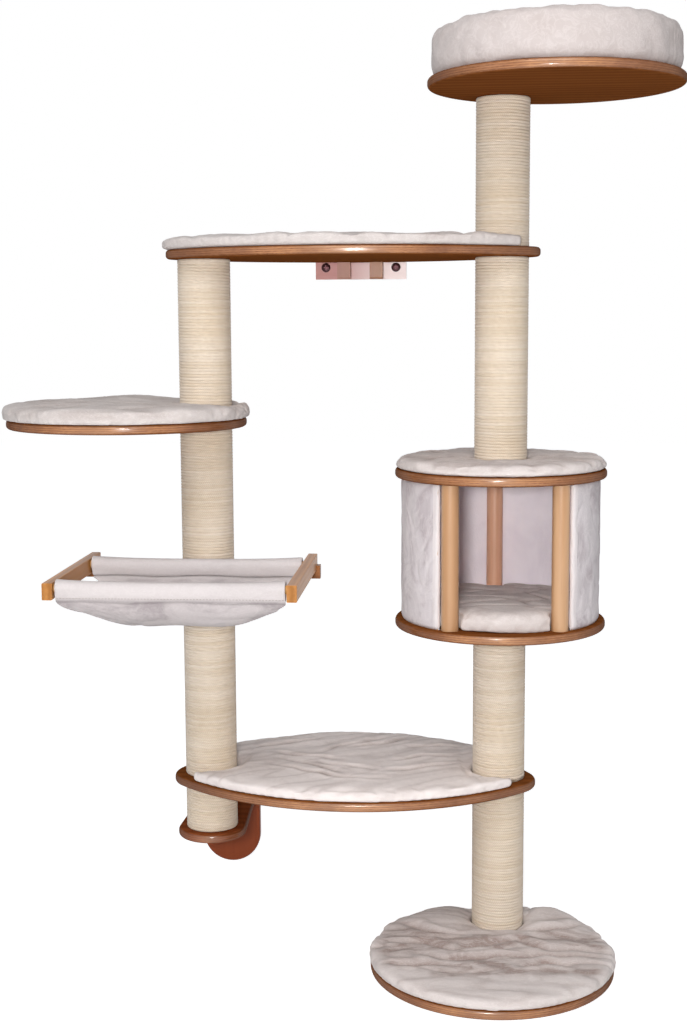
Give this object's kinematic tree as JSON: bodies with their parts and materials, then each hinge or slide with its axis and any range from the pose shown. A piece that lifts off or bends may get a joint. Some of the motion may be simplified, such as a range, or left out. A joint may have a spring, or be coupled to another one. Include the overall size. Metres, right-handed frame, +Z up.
{
  "type": "wall mounted cat tree",
  "caption": "Cat climbing tree of sisal posts and plywood shelves that stands on one base and is screwed to a wall, with a den, a hammock and a top bed.",
  "frame": {"origin": "middle of the upper wall bracket's plate, on its back face, which lies on the wall", "axes": "+X to the right along the wall, +Y into the wall, +Z up"},
  "size_m": [1.4905, 0.7973, 2.0552],
  "materials": {
    "paper_tube": "raw wound paper",
    "sisal": "wound rope",
    "plug_wood": "raw",
    "plush_mat": "short pile plush",
    "zinc_steel": "zinc plated",
    "wall_plush": "short pile plush",
    "cushion_plush": "short pile plush over wadding",
    "bolster_plush": "short pile plush over wadding",
    "sling_cloth": "woven cotton",
    "beech": "lacquered",
    "arm_wood": "lacquered",
    "bracket_wood": "stained and lacquered",
    "plywood": "lacquered, bare rounded edge"
  },
  "bodies": {
    "frame": {"base_board": "plywood", "base_mat": "plush_mat", "bracket_plate": "bracket_wood", "bracket_rib_screws": "zinc_steel", "bracket_ribs": "bracket_wood", "bracket_shelf_screws": "zinc_steel", "den_cushion": "cushion_plush", "den_dowel_screws": "zinc_steel", "den_floor_board": "plywood", "den_front_dowels": "beech", "den_rear_dowel": "beech", "den_roof_board": "plywood", "den_roof_mat": "plush_mat", "den_wall_cover": "wall_plush", "den_wall_shell": "plywood", "flat_head_bolts": "zinc_steel", "foot_board": "plywood", "foot_screws": "zinc_steel", "foot_wall_plate": "bracket_wood", "hammock_arm_left": "arm_wood", "hammock_arm_right": "arm_wood", "hammock_crossbar": "arm_wood", "hammock_rods": "beech", "hammock_screws": "zinc_steel", "hammock_sling": "sling_cloth", "joining_studs": "zinc_steel", "lower_shelf_board": "plywood", "lower_shelf_mat": "plush_mat", "post_l1_core": "paper_tube", "post_l1_plugs": "plug_wood", "post_l1_sisal": "sisal", "post_l2_core": "paper_tube", "post_l2_plugs": "plug_wood", "post_l2_sisal": "sisal", "post_l3_core": "paper_tube", "post_l3_plugs": "plug_wood", "post_l3_sisal": "sisal", "post_r1_core": "paper_tube", "post_r1_plugs": "plug_wood", "post_r1_sisal": "sisal", "post_r2_core": "paper_tube", "post_r2_plugs": "plug_wood", "post_r2_sisal": "sisal", "post_r3_core": "paper_tube", "post_r3_plugs": "plug_wood", "post_r3_sisal": "sisal", "post_r4_core": "paper_tube", "post_r4_plugs": "plug_wood", "post_r4_sisal": "sisal", "upper_shelf_board": "plywood", "upper_shelf_mat": "plush_mat"},
    "left_shelf": {"left_shelf_board": "plywood", "left_shelf_mat": "plush_mat"},
    "top_platform": {"top_board": "plywood"},
    "bed": {"bed_bolster": "bolster_plush", "bed_pad": "cushion_plush"}
  },
  "joints": [
    {"name": "left_shelf_turn", "type": "hinge", "parent": "frame", "child": "left_shelf", "pos_m": [-0.335, -0.314, -0.355], "axis": [0, 0, 1], "range_deg": [-23, 175]},
    {"name": "top_board_turn", "type": "hinge", "parent": "frame", "child": "top_platform", "pos_m": [0.335, -0.314, 0.365], "axis": [0, 0, 1], "range_deg": [-137, 63]},
    {"name": "bed_lift_off", "type": "slide", "parent": "top_platform", "child": "bed", "axis": [0, 0, 1], "range_m": [0, 0.15]}
  ]
}
